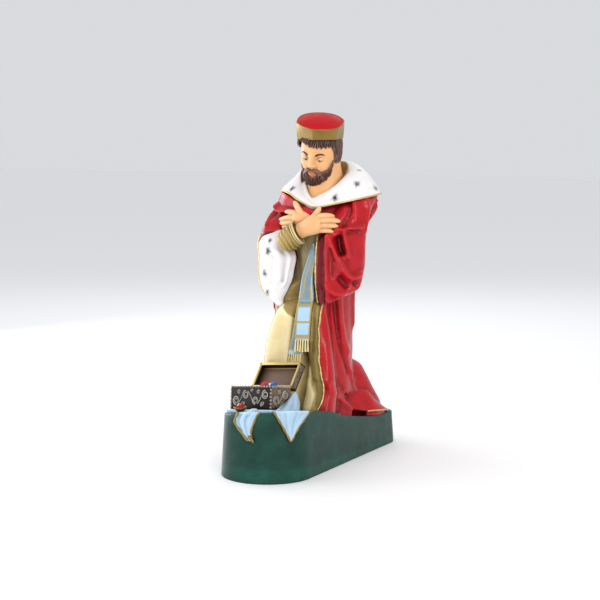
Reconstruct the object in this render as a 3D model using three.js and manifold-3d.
// A kneeling wise man from a nativity set, cast on a long round-ended plinth, with an open treasure casket.
// Millimetres, +Z up. The figure faces -Y and its left side is +X. The origin is the middle of the underside.
import * as THREE from "three";
import { mergeVertices } from "three/addons/utils/BufferGeometryUtils.js";
import Module from "manifold-3d";

// Driving dimensions
const PLINTH_LENGTH = 380;
const PLINTH_HALF_WIDTH = 68;
const PLINTH_TAIL_DEPTH = 36;
const PLINTH_DRAFT = 5;
const PLINTH_EDGE = 3;
const PLINTH_TOP = [
  [-195, 105],
  [-158, 101],
  [-119, 95],
  [-79, 89.5],
  [-53, 85],
  [-26, 77],
  [1, 69.5],
  [56, 59],
  [86, 54],
  [120, 51.5],
  [195, 50],
];
const PLINTH_LEAN = [
  [-195, 9],
  [-100, 8],
  [-40, 5],
  [20, 2],
  [195, 0],
];
const BODY_BASE = 44;
const CLOAK_THICK = 5;
const CLOAK_LEFT_EDGE = 27;
const CLOAK_RIGHT_EDGE = 312;
const HEAD_PLACE = [0.5, 36, 452];
const HEAD_BOW = 17;
const HEAD_BOW_TOWARDS = 28;
const HEAD_TURN = 3;
const CAP_CORNER = 9;
const CASKET_WIDTH = 80;
const CASKET_DEPTH = 41;
const CASKET_HEIGHT = 33;
const CASKET_WALL = 3.2;
const CASKET_TURN = -15;
const CASKET_LEAN = -9;
const CASKET_ROLL = -6.8;
const CASKET_PLACE = [-15.4, -146.3, 96.6];
const LID_DEPTH = 42;
const LID_THICK = 12;
const LID_OPEN = 62;
const SEAT_GAP = 0.3;
const RIM_WIDE = 2.6;
const RIM_STAND = 1;
const JEWELS = [
  [27, 21, 14, 12],
  [12, 22, 14, 12],
  [-1, 20, 10, 9],
  [8, 23, 32, 7.5],
  [20, 24, 32, 7],
  [30, 18, 28, 6],
];

const wasm = await Module();
wasm.setup();

const radians = (degrees) => (degrees * Math.PI) / 180;
const vector = (point) => new THREE.Vector3(...point);

// A smooth curve through rows of numbers: a row's first number is where it lies, the others are read there.
function table(rows) {
  const slope = (i, column) => {
    const low = rows[Math.max(i - 1, 0)];
    const high = rows[Math.min(i + 1, rows.length - 1)];
    return (high[column] - low[column]) / (high[0] - low[0]);
  };
  return (at) => {
    const where = Math.min(Math.max(at, rows[0][0]), rows[rows.length - 1][0]);
    let i = 0;
    while (i < rows.length - 2 && where > rows[i + 1][0]) i += 1;
    const span = rows[i + 1][0] - rows[i][0];
    const t = (where - rows[i][0]) / span;
    const ease = t * t * (3 - 2 * t);
    const rise = t * (1 - t) * (1 - t) * span;
    const fall = t * t * (t - 1) * span;
    return rows[i].slice(1).map((value, k) => {
      const next = rows[i + 1][k + 1];
      return value + (next - value) * ease + slope(i, k + 1) * rise + slope(i + 1, k + 1) * fall;
    });
  };
}

// A closed geometry as a solid that can be joined and cut.
function solid(geometry) {
  const bare = new THREE.BufferGeometry();
  bare.setAttribute("position", geometry.getAttribute("position"));
  if (geometry.index) bare.setIndex(geometry.index);
  const merged = mergeVertices(bare, 1e-3);
  const corners = [];
  for (let i = 0; i < merged.index.count; i += 3) {
    const [a, b, c] = [0, 1, 2].map((k) => merged.index.getX(i + k));
    if (a !== b && b !== c && c !== a) corners.push(a, b, c);
  }
  const vertProperties = new Float32Array(merged.attributes.position.array);
  const build = (list) =>
    new wasm.Manifold(new wasm.Mesh({ numProp: 3, vertProperties, triVerts: new Uint32Array(list) }));
  const made = build(corners);
  if (made.volume() > 0) return made;
  for (let i = 0; i < corners.length; i += 3) {
    [corners[i + 1], corners[i + 2]] = [corners[i + 2], corners[i + 1]];
  }
  return build(corners);
}

const join = (solids) => solids.reduce((whole, piece) => whole.add(piece));

// A geometry with every vertex moved by a function of its place.
function shaped(geometry, move) {
  const position = geometry.getAttribute("position");
  for (let i = 0; i < position.count; i += 1) {
    const [x, y, z] = move(position.getX(i), position.getY(i), position.getZ(i));
    position.setXYZ(i, x, y, z);
  }
  return geometry;
}

// A closed skin: place(turn, rise, out) gives a point for turn 0 to 1 around, rise 0 to 1 and out 0 or 1.
function skin(around, along, place) {
  const drum = new THREE.CylinderGeometry(1, 1, 1, around, along);
  return solid(
    shaped(drum, (x, y, z) => {
      const turn = Math.atan2(x, z) / (2 * Math.PI);
      return place(turn < -1e-9 ? turn + 1 : Math.abs(turn), y + 0.5, Math.hypot(x, z) > 0.5 ? 1 : 0);
    }),
  );
}

// A slab that follows a surface: place(u, v, side) with u and v 0 to 1 and side -1 or 1.
function slab(across, along, place) {
  const plate = new THREE.BoxGeometry(1, 1, 1, across, along, 1);
  return solid(shaped(plate, (x, y, z) => place(x + 0.5, y + 0.5, z > 0 ? 1 : -1)));
}

// A ball with its own radius on each axis, turned by three angles in degrees.
function ball(centre, radii, turns = [0, 0, 0], around = 16, along = 10) {
  const geometry = new THREE.SphereGeometry(1, around, along);
  geometry.scale(...radii);
  geometry.rotateX(radians(turns[0])).rotateY(radians(turns[1])).rotateZ(radians(turns[2]));
  geometry.translate(...centre);
  return solid(geometry);
}

// A rod through rows of x, y, z, radius. It can be flattened across the direction given.
function rod(rows, sides = 8, steps = 8, flat = 1, flatAcross = [0, -1, 0]) {
  const curve = new THREE.CatmullRomCurve3(rows.map((row) => vector(row.slice(0, 3))));
  const thick = table(rows.map((row, i) => [i / (rows.length - 1), row[3]]));
  const across = vector(flatAcross).normalize();
  return skin(sides, steps, (turn, rise, out) => {
    const centre = curve.getPoint(rise);
    const ahead = curve.getTangent(rise);
    const side = new THREE.Vector3().crossVectors(ahead, across).normalize();
    const front = new THREE.Vector3().crossVectors(side, ahead);
    const radius = out * thick(rise)[0];
    const angle = turn * 2 * Math.PI;
    centre.addScaledVector(side, Math.sin(angle) * radius);
    centre.addScaledVector(front, Math.cos(angle) * radius * flat);
    return centre.toArray();
  });
}

// Plinth: a long slab with a half-round nose and a blunt tail. Its top falls from the nose to the tail and,
// at the nose, a little towards the figure's right.
const topHeight = table(PLINTH_TOP);
const topLean = table(PLINTH_LEAN);
const plinthTop = (x, y) => topHeight(y)[0] + (topLean(y)[0] * (x - PLINTH_HALF_WIDTH)) / 100;

function plinth() {
  const half = PLINTH_LENGTH / 2;
  const noseCentre = PLINTH_HALF_WIDTH - half;
  const tailCentre = half - PLINTH_TAIL_DEPTH;
  const width = PLINTH_HALF_WIDTH - PLINTH_EDGE;
  const plan = new THREE.Shape();
  plan.absarc(0, noseCentre, width, Math.PI, 2 * Math.PI);
  plan.absellipse(0, tailCentre, width, PLINTH_TAIL_DEPTH - PLINTH_EDGE, 0, Math.PI);
  const body = new THREE.ExtrudeGeometry(plan, {
    depth: 130,
    curveSegments: 10,
    steps: 1,
    bevelThickness: PLINTH_EDGE,
    bevelSize: PLINTH_EDGE,
    bevelSegments: 1,
  });
  body.translate(0, 0, PLINTH_EDGE);
  shaped(body, (x, y, z) => {
    const drawnIn = (PLINTH_DRAFT * z) / 100;
    return [x * (1 - drawnIn / PLINTH_HALF_WIDTH), y * (1 - drawnIn / half), z];
  });
  const ground = new THREE.BoxGeometry(2 * PLINTH_HALF_WIDTH + 8, PLINTH_LENGTH + 8, 2, 2, 16, 1);
  shaped(ground, (x, y, z) => [x, y, z > 0 ? plinthTop(x, y) : -1]);
  return solid(body).intersect(solid(ground));
}

// Body below the belt: the reach of an upright column and of the limbs that push the cloth out.
const column = table([
  [40, -4, 46, 46, 52],
  [100, -5, 50, 46, 50],
  [160, -6, 52, 46, 48],
  [230, -5, 52, 46, 47],
  [270, -2, 52, 46, 45],
  [330, 0, 54, 50, 42],
]);
const limbs = [
  {
    // the raised right knee and its shin
    low: 40,
    high: 244,
    end: table([
      [40, -33, -52, 30],
      [100, -34, -46, 26],
      [146, -32, -39, 23.5],
      [178, -30, -36, 23],
      [193, -28, -34, 21.5],
      [215, -24, -28, 19],
      [232, -20, -18, 16],
      [244, -10, 20, 10],
    ]),
  },
  {
    // the left knee on the ground, with the thigh above it
    low: 40,
    high: 250,
    end: table([
      [40, 30, -26, 24],
      [80, 32, -27, 25],
      [110, 32, -20, 22],
      [150, 27, -12, 19],
      [200, 18, -10, 19],
      [230, 14, -8, 18],
      [250, 8, 20, 15],
    ]),
  },
  {
    // the left shin laid back, and the heel over the bent toes
    low: 40,
    high: 146,
    end: table([
      [40, 27, 126, 27],
      [68, 27, 123, 26],
      [86, 24, 112, 25],
      [103, 20, 105, 24],
      [118, 17, 99, 22],
      [130, 14, 94, 20],
      [139, 10, 88, 12],
      [146, 2, 66, 8],
    ]),
  },
  {
    // the cloak spread behind the right leg
    low: 40,
    high: 200,
    end: table([
      [40, -36, 96, 26],
      [90, -28, 88, 22],
      [150, -18, 70, 18],
      [200, -8, 56, 12],
    ]),
  },
  {
    // the cloak's train between them
    low: 40,
    high: 150,
    end: table([
      [40, -4, 122, 24],
      [70, -5, 112, 22],
      [105, -4, 92, 20],
      [150, -4, 70, 16],
    ]),
  },
  {
    // the right thigh, which holds the cloak out to the side
    low: 120,
    high: 282,
    end: table([
      [120, -28, 12, 20],
      [180, -36, 6, 20],
      [215, -40, 4, 20],
      [240, -42, 6, 20],
      [262, -34, 14, 18],
      [282, -10, 44, 12],
    ]),
  },
];

// How far an upright limb reaches from the column's centre in a direction, as a rounded bar seen in plan.
function limbReach(angle, dx, dy, radius) {
  const length = Math.hypot(dx, dy);
  const off = Math.acos((dx * Math.sin(angle) - dy * Math.cos(angle)) / length);
  if (off >= Math.PI / 2) return radius;
  if (Math.tan(off) * length >= radius) return radius / Math.sin(off);
  return length * Math.cos(off) + Math.sqrt(radius * radius - (length * Math.sin(off)) ** 2);
}

// The cloth's distance from the column's centre. Angles run from the front towards the figure's left.
function bodyReach(angle, z) {
  const [cx, cy, a, b] = column(z);
  const power = 10;
  let sum = (1 / Math.hypot(Math.sin(angle) / a, Math.cos(angle) / b)) ** power;
  for (const limb of limbs) {
    if (z > limb.low - 1 && z < limb.high) {
      const [x, y, radius] = limb.end(z);
      sum += limbReach(angle, x - cx, y - cy, radius) ** power;
    }
  }
  return sum ** (1 / power);
}

// The robe, cream cloth over the raised knee, with soft folds that fall from it.
const ROBE_FOLDS = [
  { top: -33, foot: -40, wide: 9, high: 3.5 },
  { top: -12, foot: -20, wide: 8, high: 4 },
  { top: 6, foot: 2, wide: 7, high: 3 },
  { top: 20, foot: 22, wide: 6, high: 3 },
];
const CLOAK_FOLDS = [
  { top: 38, foot: 33, wide: 9, high: 4.5 },
  { top: 66, foot: 62, wide: 9, high: 4 },
  { top: 92, foot: 96, wide: 9, high: 4 },
  { top: 118, foot: 124, wide: 10, high: 5 },
  { top: 146, foot: 150, wide: 10, high: 6 },
  { top: 172, foot: 176, wide: 10, high: 6 },
  { top: 198, foot: 202, wide: 10, high: 6 },
  { top: 224, foot: 228, wide: 10, high: 5 },
  { top: 250, foot: 252, wide: 10, high: 5 },
  { top: 276, foot: 278, wide: 9, high: 4 },
  { top: 300, foot: 300, wide: 8, high: 4 },
];

// The height of the folds at an angle in degrees and a height: rounded ridges with hollows between them.
function foldHeight(folds, degrees, z, low, high) {
  const fall = (high - z) / (high - low);
  let sum = 0;
  for (const fold of folds) {
    const middle = fold.top + (fold.foot - fold.top) * fall;
    const off = ((degrees - middle + 540) % 360) - 180;
    sum += fold.high * (0.35 + 0.65 * fall) * Math.exp(-((off / fold.wide) ** 2));
  }
  return sum;
}

function robe() {
  const [low, high] = [BODY_BASE, 290];
  const [right, left] = [-78, 50];
  const around = 28;
  const shown = (around - 5) / around;
  return skin(around, 8, (turn, rise, out) => {
    const z = low + (high - low) * rise;
    const [cx, cy] = column(z);
    const hidden = Math.max(0, turn - shown) / (1 - shown);
    const degrees = right + (left - right) * Math.min(turn / shown, 1) + hidden * (360 + right - left);
    const angle = radians(degrees);
    const folds = foldHeight(ROBE_FOLDS, degrees, z, low, 230);
    const radius = out * (bodyReach(angle, z) - CLOAK_THICK + (z < 235 ? folds : folds * 0.5));
    return [cx + Math.sin(angle) * radius, cy - Math.cos(angle) * radius, z];
  });
}

// The cloak's skirt: it wraps the back and sides and stops at two upright front edges.
function cloakSkirt() {
  const [low, high] = [BODY_BASE, 276];
  const around = 48;
  const covered = (around - 5) / around;
  return skin(around, 9, (turn, rise, out) => {
    const z = low + (high - low) * rise;
    const [cx, cy] = column(z);
    const spread = table([
      [40, -2, 4],
      [90, 0, 0],
      [200, 0, 0],
      [276, 4, 0],
    ])(z);
    const first = CLOAK_LEFT_EDGE + spread[0];
    const last = CLOAK_RIGHT_EDGE + spread[1];
    const inside = turn > covered + 1e-6;
    const within = Math.min(turn / covered, 1);
    const past = inside ? (turn - covered) / (1 - covered) : 0;
    const degrees = inside ? last + (360 + first - last) * past : first + (last - first) * within;
    const angle = radians(degrees);
    const edge = Math.min(within, 1 - within) * (last - first);
    const roll = 1 - Math.exp(-((edge / 3) ** 2));
    const folds = foldHeight(CLOAK_FOLDS, degrees, z, low, high) * (0.3 + 0.7 * roll);
    const drawn = inside && past < 1 ? -14 : folds;
    const radius = out * (bodyReach(angle, z) + drawn);
    return [cx + Math.sin(angle) * radius, cy - Math.cos(angle) * radius, z];
  });
}

// Folds drawn on an upright form as lines of angle and height. A ridge is high, a hollow is below zero.
const FOLD_MM_PER_DEGREE = 0.55;

function foldSwell(folds) {
  return (degrees, z) => {
    let sum = 0;
    for (const { line, high, wide } of folds) {
      let nearest = Infinity;
      for (let i = 1; i < line.length; i += 1) {
        const [a0, z0] = line[i - 1];
        const dx = (line[i][0] - a0) * FOLD_MM_PER_DEGREE;
        const dz = line[i][1] - z0;
        const px = (degrees - a0) * FOLD_MM_PER_DEGREE;
        const pz = z - z0;
        const t = Math.min(Math.max((px * dx + pz * dz) / (dx * dx + dz * dz), 0), 1);
        nearest = Math.min(nearest, Math.hypot(px - t * dx, pz - t * dz));
      }
      sum += high * Math.exp(-((nearest / wide) ** 2));
    }
    return sum;
  };
}

// Hem of the cloak, spread on the plinth behind the heel and turned up at its end.
function trailingHem() {
  return join([
    rod([[30, 118, 66, 14], [44, 130, 60, 12], [54, 138, 56, 8], [60, 141, 54, 4]], 7, 4, 0.8, [0, 0, 1]),
    rod([[48, 84, 64, 6], [58, 108, 62, 6], [61, 126, 58, 5], [58, 140, 56, 4]], 6, 4),
  ]);
}

// Rows of height, centre x and y, half length, half thickness and turn of a flattened round section.
// Angle 0 faces the front. Most of the facets lie from -110 to 110 degrees, where the folds are.
function upright(rows, around, along, swell = () => 0, hem = () => 0) {
  const read = table(rows);
  const low = rows[0][0];
  const high = rows[rows.length - 1][0];
  const fine = 0.75;
  return skin(around, along, (turn, rise, out) => {
    const level = low + (high - low) * rise;
    const behind = Math.max(0, turn - fine) / (1 - fine);
    const degrees = -110 + 220 * Math.min(turn / fine, 1) + 140 * behind;
    const [cx, cy, long, thick, turned] = read(level);
    const angle = radians(degrees);
    const more = swell(degrees, level);
    const u = out * Math.sin(angle) * (long + more);
    const v = -out * Math.cos(angle) * (thick + more);
    const c = Math.cos(radians(turned));
    const s = Math.sin(radians(turned));
    return [cx + u * c - v * s, cy + u * s + v * c, level + hem(out * Math.sin(angle), level)];
  });
}

// Chest and shoulders, with folds of the cloak that fan from the shoulders down the back.
function torso() {
  const rows = table([
    [236, -3, 54, 38, 34],
    [254, -3, 54, 46, 43],
    [272, -2, 55, 51, 47],
    [310, 0, 57, 57, 50],
    [350, 0, 57, 66, 51],
    [380, 0, 58, 72, 47],
    [396, 0, 58, 64, 39],
    [406, 0, 58, 46, 32],
    [413, 0, 58, 26, 22],
  ]);
  const [low, high] = [236, 413];
  return skin(30, 8, (turn, rise, out) => {
    const z = low + (high - low) * rise;
    const [cx, cy, a, b] = rows(z);
    const angle = turn * 2 * Math.PI;
    const fan = Math.max(0, -Math.cos(angle)) * Math.max(0, (400 - z) / (high - low));
    const plain = 1 / Math.hypot(Math.sin(angle) / a, Math.cos(angle) / b);
    const radius = out * (plain + 4 * fan * Math.cos(9 * angle));
    return [cx + Math.sin(angle) * radius, cy - Math.cos(angle) * radius, z];
  });
}

// Left arm: a wide sleeve hung over the bent forearm, open at a front edge that falls straight.
const LEFT_SLEEVE_FOLDS = [
  { line: [[-35, 334], [-22, 306], [-7, 290], [17, 272], [48, 275], [78, 288]], high: 6, wide: 6 },
  { line: [[-7, 330], [-3, 300]], high: -9, wide: 8 },
  { line: [[-47, 338], [-47, 290], [-42, 245]], high: 4, wide: 5 },
  { line: [[-70, 330], [-68, 250]], high: -4, wide: 6 },
  { line: [[-18, 343], [10, 345], [40, 341], [66, 344]], high: 3.5, wide: 6 },
  { line: [[10, 262], [46, 264]], high: -7, wide: 7 },
  { line: [[-26, 284], [-20, 262], [-4, 250]], high: 4, wide: 8 },
  { line: [[75, 396], [78, 350]], high: 4, wide: 7 },
  { line: [[18, 386], [2, 356]], high: -4, wide: 8 },
];

function leftSleeve() {
  const rows = [
    [234, 46, 6, 26, 3, 42],
    [240, 46.5, 7, 31, 9, 42],
    [253, 47, 8, 34, 14, 42],
    [268, 46.5, 10, 36, 17, 42],
    [300, 46.5, 14, 37.5, 20, 42],
    [330, 46, 18, 36.5, 24, 40],
    [350, 47, 26, 34, 27, 36],
    [373, 50, 42, 30, 29, 20],
    [387, 50, 52, 31, 30, 0],
    [400, 44, 57, 27, 26, 0],
    [409, 34, 58, 14, 14, 0],
  ];
  const hem = (along, z) => (Math.max(0, 290 - z) / 56) * (along + 0.7) * 11;
  return upright(rows, 24, 14, foldSwell(LEFT_SLEEVE_FOLDS), hem);
}

// Right arm: the sleeve hangs to a point and shows its fur lining, with the tight inner sleeve coming out.
const RIGHT_SLEEVE_FOLDS = [
  { line: [[-88, 236], [-88, 300], [-80, 332], [-50, 344], [-10, 352], [24, 358]], high: 4, wide: 5 },
  { line: [[-48, 328], [-36, 300]], high: -4, wide: 9 },
  { line: [[22, 300], [14, 250]], high: 3, wide: 6 },
  { line: [[-34, 300], [-26, 246]], high: 2, wide: 6 },
  { line: [[-70, 372], [-76, 352]], high: 4, wide: 6 },
  { line: [[-40, 372], [-44, 356]], high: -4, wide: 6 },
];

function rightSleeve() {
  const rows = [
    [228, -37, -17, 3, 2, -5],
    [240, -46, -12, 9.5, 7, -5],
    [254, -51, -7, 20, 12, -5],
    [268, -53, -2, 27, 15, -5],
    [283, -53, 1, 29, 18, -5],
    [303, -52.5, 4, 30.5, 21, -4],
    [322, -60, 11, 28, 23, -6],
    [343, -66, 22, 23, 22, 0],
    [358, -61, 36, 23, 24, 0],
    [373, -54, 46, 22, 24, 0],
    [387, -50, 52, 26, 26, 0],
    [400, -40, 56, 27, 27, 0],
    [409, -32, 57, 14, 14, 0],
  ];
  return join([
    upright(rows, 20, 12, foldSwell(RIGHT_SLEEVE_FOLDS)),
    rod([[-34, -12, 324, 16], [-25, -16, 330, 17.5], [-9.5, -17, 341, 17.5]], 10, 3),
    rod([[-12, -16.5, 340.5, 17], [-8.5, -17.8, 342.2, 18.3], [-6.5, -18.4, 343.2, 16]], 10, 2),
  ]);
}

// Ends of the shoulder cape that stand out under the collar.
function shoulderFolds() {
  return join([
    rod([[-50, 22, 399, 5], [-62, 26, 390, 7], [-65, 24, 379, 7], [-55, 8, 373, 7], [-38, 0, 373, 4]], 6, 6),
    rod([[64, 60, 398, 6], [77, 69, 389, 7], [70, 70, 372, 6], [65, 66, 350, 4]], 6, 5),
  ]);
}

// Fur collar: inner, middle and outer line of radius and height, by the angle from the front.
function collar() {
  const lines = table([
    [-180, 37, 444, 52, 424, 62, 392],
    [-140, 37, 443, 58, 425, 72, 395],
    [-105, 36, 438, 54, 418, 73, 401],
    [-75, 35, 428, 47, 414, 66, 400.5],
    [-40, 34, 405, 44, 403, 56, 396.5],
    [-8, 37, 391, 46, 390, 55, 384],
    [14, 37, 389, 47, 386, 56, 377.5],
    [45, 34, 400, 50, 401, 62, 383],
    [75, 32, 413, 55, 417, 78, 391],
    [100, 34, 424, 60, 424, 88, 396],
    [140, 37, 441, 60, 430, 78, 395],
    [180, 37, 444, 52, 424, 62, 392],
  ]);
  const centre = [-2, 52];
  const ring = new THREE.TorusGeometry(1, 0.25, 6, 30);
  return solid(
    shaped(ring, (x, y, z) => {
      const degrees = THREE.MathUtils.radToDeg(Math.atan2(x, -y));
      const across = (Math.hypot(x, y) - 1) / 0.25;
      const [r0, z0, r1, z1, r2, z2] = lines(degrees);
      const t = (across + 1) / 2;
      const weight = [2 * (t - 0.5) * (t - 1), 4 * t * (1 - t), 2 * t * (t - 0.5)];
      const radius = r0 * weight[0] + r1 * weight[1] + r2 * weight[2];
      const height = z0 * weight[0] + z1 * weight[1] + z2 * weight[2];
      const lift = (z / 0.25) * (z > 0 ? 4 : 12);
      const angle = radians(degrees);
      return [centre[0] + Math.sin(angle) * radius, centre[1] - Math.cos(angle) * radius, height + lift];
    }),
  );
}

// Head, in its own frame: the face looks along -Y and the crown is up.
function place(piece) {
  const towards = radians(HEAD_BOW_TOWARDS);
  const axis = new THREE.Vector3(Math.cos(towards), Math.sin(towards), 0);
  const bow = new THREE.Matrix4().makeRotationAxis(axis, radians(HEAD_BOW));
  const turned = new THREE.Matrix4().makeRotationZ(radians(HEAD_TURN));
  const matrix = new THREE.Matrix4().makeTranslation(...HEAD_PLACE).multiply(bow).multiply(turned);
  return piece.transform(matrix.elements);
}

// Face forms, each a soft swelling at an angle from the middle and a height: how far out, how wide and tall.
const FACE_FORMS = [
  { angle: 0, z: 6, out: 4, wide: 8, tall: 7 },
  { angle: 0, z: -3, out: 8, wide: 9, tall: 6.5 },
  { angle: 21, z: 4.5, out: -3, wide: 10, tall: 4.5 },
  { angle: 22, z: 12, out: 2, wide: 15, tall: 4 },
  { angle: 38, z: -5, out: 1.8, wide: 12, tall: 7 },
  { angle: 0, z: -16.5, out: 2, wide: 11, tall: 3.4 },
];

function face() {
  const rows = table([
    [-38, 8, 10, -8],
    [-34, 14, 17, -7],
    [-24, 20, 24, -4],
    [-10, 25.5, 30, -1],
    [8, 28, 32, 1],
    [26, 27, 32, 3],
    [40, 15, 20, 4],
  ]);
  const [low, high] = [-38, 40];
  const fine = 0.72;
  return skin(24, 12, (turn, rise, out) => {
    const z = low + (high - low) * rise;
    const [a, b, cy] = rows(z);
    const behind = Math.max(0, turn - fine) / (1 - fine);
    const degrees = -62 + 124 * Math.min(turn / fine, 1) + 236 * behind;
    const angle = radians(degrees);
    let reach = 1 / Math.hypot(Math.sin(angle) / a, Math.cos(angle) / b);
    for (const form of FACE_FORMS) {
      const off = (Math.abs(degrees) - form.angle) / form.wide;
      reach += form.out * Math.exp(-(off ** 2) - ((z - form.z) / form.tall) ** 2);
    }
    return [Math.sin(angle) * reach * out, cy - Math.cos(angle) * reach * out, z];
  });
}

// Locks: rounded grooves that run down a mass of hair.
const lock = (angle, count, deep) => deep * Math.abs(Math.sin((angle * count) / 2));

function hair() {
  const rows = table([
    [-20, 20, 22],
    [-15, 26, 30],
    [-6, 30, 34],
    [8, 32, 36],
    [22, 32, 36],
    [34, 28, 31],
    [44, 12, 14],
  ]);
  return skin(32, 5, (turn, rise, out) => {
    const angle = turn * 2 * Math.PI;
    const front = Math.max(0, Math.cos(angle));
    const z = -20 + 64 * rise + 34 * front ** 1.6 * (1 - rise) ** 1.3;
    const [a, b] = rows(z);
    const radius = out * (1 / Math.hypot(Math.sin(angle) / a, Math.cos(angle) / b) + lock(angle, 16, 2));
    const held = z < 12 && front > 0.35 ? 0.75 : 1;
    return [Math.sin(angle) * radius * held - 2.5, 3 - Math.cos(angle) * radius * held, z];
  });
}

function beard() {
  const rows = table([
    [-46, 4, 4],
    [-43, 12, 11],
    [-36, 18.5, 18],
    [-26, 23, 24],
    [-16, 25, 26],
    [-6, 26.4, 27],
    [2, 27, 28],
  ]);
  const mass = skin(24, 5, (turn, rise, out) => {
    const angle = turn * 2 * Math.PI;
    const front = Math.max(0, Math.cos(angle));
    const z = -46 + rise * (48 - 25 * front ** 3);
    const [a, b] = rows(z);
    const radius = out * (1 / Math.hypot(Math.sin(angle) / a, Math.cos(angle) / b) + lock(angle, 12, 2));
    return [Math.sin(angle) * radius, -6 - Math.cos(angle) * radius, z];
  });
  const moustache = (s) =>
    rod([[0, -32.5, -12, 2.8], [s * 7, -30.5, -13, 3.2], [s * 13, -26, -18, 3], [s * 16, -22, -25, 2]], 5, 4);
  return join([mass, moustache(-1), moustache(1)]);
}

function neck() {
  return join([
    rod([[0, 60, 378, 30], [1, 54, 404, 27], [1, 47, 428, 23], [0, 42, 446, 22]], 12, 3),
    rod([[-24, 22, 404, 4], [-14, 10, 393, 5], [-3, 5, 383, 6], [10, 10, 391, 5], [22, 20, 400, 4]], 6, 6),
  ]);
}

// Cap: a six-sided gold band that widens upward, with a low red dome. Its two rims lean differently.
function cap() {
  const rims = table([
    [0, 3.2, 30.6, 479, 35, 4, 0],
    [0.5, 5.6, 26.4, 491.6, 36, 13, 1],
    [0.62, 7.4, 23, 503.4, 36.4, 20, 1.6],
    [0.66, 7.4, 23, 503.9, 35, 20, 1.6],
    [0.7, 7.4, 23, 504.6, 33.2, 20, 1.6],
    [0.85, 7.6, 22.7, 509.2, 20, 20, 1.6],
    [1, 7.7, 22.5, 510.8, 6, 20, 1.6],
  ]);
  const levels = [0, 0.5, 0.62, 0.66, 0.7, 0.85, 1];
  const towards = radians(HEAD_BOW_TOWARDS);
  return skin(18, levels.length - 1, (turn, rise, out) => {
    const level = levels[Math.round(rise * (levels.length - 1))];
    const [cx, cy, cz, radius, lean, tilt] = rims(level);
    const angle = turn * 2 * Math.PI + radians(CAP_CORNER);
    const sixth = Math.PI / 3;
    const off = (turn * 2 * Math.PI) % sixth;
    const flat = Math.cos(sixth / 2) / Math.cos(off - sixth / 2);
    const reach = out * radius * (level < 0.6 ? 0.3 + 0.7 * flat : 1);
    const dx = Math.sin(angle) * reach;
    const dy = -Math.cos(angle) * reach;
    const forward = dx * Math.sin(towards) - dy * Math.cos(towards);
    const sideways = dx * Math.cos(towards) + dy * Math.sin(towards);
    return [cx + dx, cy + dy, cz - forward * Math.tan(radians(lean)) - sideways * Math.tan(radians(tilt))];
  });
}

// Hands crossed on the chest: a flat palm, four fingers and a thumb each.
function hand(palm, fingers) {
  return join([rod(palm, 8, 4, 0.66), ...fingers.map((rows) => rod(rows, 5, 3))]);
}

function rightHand() {
  return hand(
    [
      [-8, -17, 342, 12],
      [4, -19.5, 347, 12],
      [14, -20, 351.5, 14],
      [24, -18.5, 355, 14.5],
      [31, -16, 356, 11],
    ],
    [
      [[24, -19, 364, 5], [36, -15.5, 366.5, 4.6], [46, -7, 366.5, 4], [51, -1, 365.5, 2.2]],
      [[26, -19, 358, 5], [40, -14, 360, 4.8], [51, -4, 359.5, 4.2], [57.5, 4, 358, 2.3]],
      [[26, -19, 351.5, 5], [39, -14, 352.5, 4.7], [49, -4.5, 352, 4], [54.5, 2, 350.5, 2.2]],
      [[23, -19, 345.5, 4.6], [35, -15.5, 345, 4.4], [44, -8, 344, 3.7], [49, -2, 342.5, 2]],
      [[10, -20, 354, 6], [19, -19, 364, 5], [24, -15.5, 372, 4.4], [26, -13, 380, 2.4]],
    ],
  );
}

function leftHand() {
  return hand(
    [
      [18, -5, 349, 11],
      [6, -6.5, 354, 12],
      [-4, -8, 358.5, 13.5],
      [-14, -8, 360, 13],
      [-20, -6.5, 360, 10],
    ],
    [
      [[-12, -9, 366, 4.6], [-24, -6.5, 369, 4.2], [-34, -2, 369.5, 3.6], [-40, 1, 369, 2]],
      [[-14, -9, 361, 4.6], [-28, -6, 361.5, 4.3], [-42, -1, 359, 3.8], [-51, 3, 357.5, 2]],
      [[-14, -9, 355, 4.6], [-28, -6, 354.5, 4.3], [-42, -1, 353, 3.8], [-50, 3, 352.5, 2]],
      [[-14, -8, 350, 4.4], [-28, -5, 348.5, 4], [-40, -1, 347.5, 3.4], [-46, 2, 347.5, 2]],
      [[0, -9, 361, 5.6], [-8, -9.5, 371, 4.8], [-16, -8, 380, 4.2], [-21, -6.5, 386.5, 2.3]],
    ],
  );
}

// Stole: a flat band laid down the front of the robe, its two ends one over the other.
function stole() {
  const band = (rows, wide) => {
    const read = table(rows);
    const low = rows[0][0];
    const high = rows[rows.length - 1][0];
    return slab(2, 6, (u, v, side) => {
      const z = low + (high - low) * v;
      const [x, y, turn] = read(z);
      const along = (u - 0.5) * wide(z);
      const bulge = (1 - (2 * u - 1) ** 2) * 1.2 + (side > 0 ? -4 : 8);
      const c = Math.cos(radians(turn));
      const s = Math.sin(radians(turn));
      return [x + along * c - bulge * s, y + along * s + bulge * c, z];
    });
  };
  const front = [
    [158, 9, -38, 20],
    [193, 10, -36, 20],
    [223, 9, -33, 18],
    [248, 5, -24, 12],
    [272, 5, -13, 6],
    [296, 8, -6, 6],
    [330, 11, -4, 6],
  ];
  const under = [
    [146, 4, -38, 12],
    [190, 4, -35, 12],
    [225, 3, -30, 12],
    [246, 2, -20, 8],
  ];
  return join([band(front, (z) => (z < 240 ? 21 : 17)), band(under, () => 20)]);
}

// Where the casket stands: its own frame, x along the front, y back and z up from the seat.
function seatMatrix() {
  const turn = new THREE.Euler(radians(CASKET_LEAN), radians(CASKET_ROLL), radians(CASKET_TURN), "ZXY");
  return new THREE.Matrix4().makeRotationFromEuler(turn).setPosition(...CASKET_PLACE);
}

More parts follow.
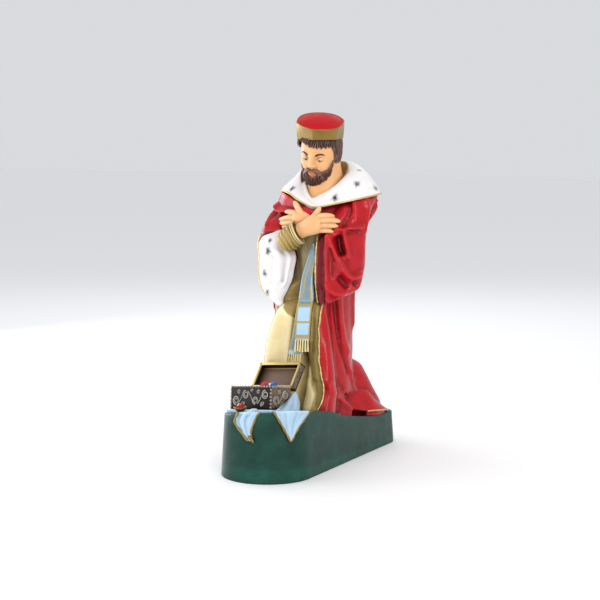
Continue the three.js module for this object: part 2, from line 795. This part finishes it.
function rimPoint(degrees, drop, stand) {
  const noseCentre = PLINTH_HALF_WIDTH - PLINTH_LENGTH / 2;
  const angle = radians(Math.min(degrees, 90));
  const past = Math.max(0, degrees - 90);
  const radius = PLINTH_HALF_WIDTH + stand;
  const [x, y] = [Math.sin(angle) * radius, noseCentre - Math.cos(angle) * radius + past];
  const z = plinthTop(x, y) - drop;
  const drawnIn = 1 - (PLINTH_DRAFT * z) / 100 / PLINTH_HALF_WIDTH;
  return [x * drawnIn, noseCentre + (y - noseCentre) * drawnIn, z];
}

// Blue cloth: a flat seat, a pointed corner over the side, a gathered corner over the nose, and loose folds.
function cloth() {
  const matrix = seatMatrix();
  const seat = slab(1, 1, (u, v, side) => {
    const x = (u - 0.5) * (CASKET_WIDTH + 10);
    const y = (v - 0.08) * (CASKET_DEPTH + 16);
    return new THREE.Vector3(x, y, side > 0 ? -SEAT_GAP : -12).applyMatrix4(matrix).toArray();
  });
  const hanging = (from, to, tip, longest, folds) =>
    slab(8, 2, (u, v, side) => {
      const down = 1 - v;
      const middle = from + (to - from) * tip;
      const degrees = middle + (from + (to - from) * u - middle) * (1 - down * 0.97);
      const wave = folds * Math.cos(u * 8 * Math.PI) * down * (1 - down * 0.6);
      return rimPoint(degrees, down * longest - 1.5, side > 0 ? 2.6 + wave : -5);
    });
  return join([
    seat,
    hanging(36, 90, 0.46, 44, 0.9),
    hanging(-8, 24, 0.62, 42, 1.6),
    rod([[56, -150, 99, 5], [44, -144, 102, 6], [34, -140, 101, 4]], 6, 3),
    rod([[57, -134, 96, 5], [48, -128, 100, 7], [40, -122, 99, 5]], 6, 3),
    rod([[52, -112, 92, 5], [46, -104, 99, 9], [38, -96, 104, 9], [30, -88, 98, 5]], 7, 4),
    rod([[6, -182, 101, 4], [2, -172, 102, 6], [-2, -162, 100, 5]], 6, 3),
    rod([[18, -180, 102, 4], [16, -168, 104, 6], [12, -158, 101, 5]], 6, 3),
  ]);
}

// Small dish with one round stone in it, in front of the casket.
function dish() {
  const [x, y] = [-22, -163];
  const z = plinthTop(x, y) + 2;
  const profile = [
    [0, -5],
    [5, -5],
    [5.5, 2],
    [9.6, 6],
    [9, 7.4],
    [6, 5.6],
    [0, 5.4],
  ].map((point) => new THREE.Vector2(...point));
  const bowl = new THREE.LatheGeometry(profile, 10);
  bowl.rotateX(Math.PI / 2).translate(x, y, z);
  return solid(bowl).add(ball([x, y, z + 7], [4.6, 4.6, 4.2], [0, 0, 0], 6, 4));
}

// The room that the casket takes up, with the gap around it.
function casketRoom() {
  const room = caseBlock(SEAT_GAP + RIM_STAND).add(lidBlock(SEAT_GAP));
  return room.transform(seatMatrix().elements);
}

function figure() {
  const cast = join([
    plinth(),
    robe(),
    cloakSkirt(),
    trailingHem(),
    torso(),
    leftSleeve(),
    rightSleeve(),
    shoulderFolds(),
    collar(),
    neck(),
    place(join([face(), hair(), beard()])),
    cap(),
    rightHand(),
    leftHand(),
    stole(),
    cloth(),
    dish(),
  ]);
  return cast.subtract(casketRoom());
}

// Casket, in its own frame: x along the front, y back, z up from the seat.
function box(size, centre) {
  const geometry = new THREE.BoxGeometry(...size);
  geometry.translate(...centre);
  return geometry;
}

// The lid's own frame has its hinge edge at y 0 and its outer face at z 0.
function onLid(geometry) {
  geometry.rotateX(radians(LID_OPEN)).translate(0, CASKET_DEPTH - 0.6, CASKET_HEIGHT - 0.8);
  return solid(geometry);
}

function lidBlock(grown) {
  const size = [CASKET_WIDTH + 2 * grown, LID_DEPTH + 2 * grown, LID_THICK + 2 * grown];
  return onLid(box(size, [0, LID_DEPTH / 2, -LID_THICK / 2]));
}

function caseBlock(grown) {
  const size = [CASKET_WIDTH + 2 * grown, CASKET_DEPTH + 2 * grown, CASKET_HEIGHT + 2 * grown];
  return solid(box(size, [0, CASKET_DEPTH / 2, CASKET_HEIGHT / 2]));
}

function casket() {
  const wall = CASKET_WALL;
  const [width, depth, height] = [CASKET_WIDTH, CASKET_DEPTH, CASKET_HEIGHT];
  const inside = solid(box([width - 2 * wall, depth - 2 * wall, height], [0, depth / 2, height / 2 + wall]));
  const edging = join([
    solid(box([width + 2 * RIM_STAND, RIM_WIDE, RIM_WIDE], [0, RIM_STAND / 2, height - RIM_WIDE / 2])),
    solid(box([RIM_WIDE, depth, RIM_WIDE], [RIM_STAND / 2 - width / 2, depth / 2, height - RIM_WIDE / 2])),
    solid(box([RIM_WIDE, depth, RIM_WIDE], [width / 2 - RIM_STAND / 2, depth / 2, height - RIM_WIDE / 2])),
  ]);
  const recess = onLid(
    box([width - 2 * wall, LID_DEPTH - 2 * wall, LID_THICK], [0, LID_DEPTH / 2, wall - LID_THICK / 2]),
  );
  const heap = JEWELS.map(([x, y, z, radius]) =>
    ball([x, y, z], [radius * 1.15, radius * 0.95, radius], [0, 0, 0], 7, 5),
  );
  return join([caseBlock(0).subtract(inside), edging, lidBlock(0).subtract(recess), ...heap]);
}

// A finished solid as a named mesh.
function mesh(name, piece, color, roughness) {
  const made = piece.getMesh();
  const geometry = new THREE.BufferGeometry();
  geometry.setAttribute("position", new THREE.BufferAttribute(new Float32Array(made.vertProperties), 3));
  geometry.setIndex(new THREE.BufferAttribute(new Uint32Array(made.triVerts), 1));
  geometry.computeVertexNormals();
  const item = new THREE.Mesh(geometry, new THREE.MeshStandardMaterial({ color, roughness, metalness: 0 }));
  item.name = name;
  return item;
}

const group = new THREE.Group();
group.add(mesh("wise_man_figure", figure(), "#b3242b", 0.3));

const casketMesh = mesh("treasure_casket", casket(), "#4a3a34", 0.45);
casketMesh.applyMatrix4(seatMatrix());
group.add(casketMesh);

export default group;
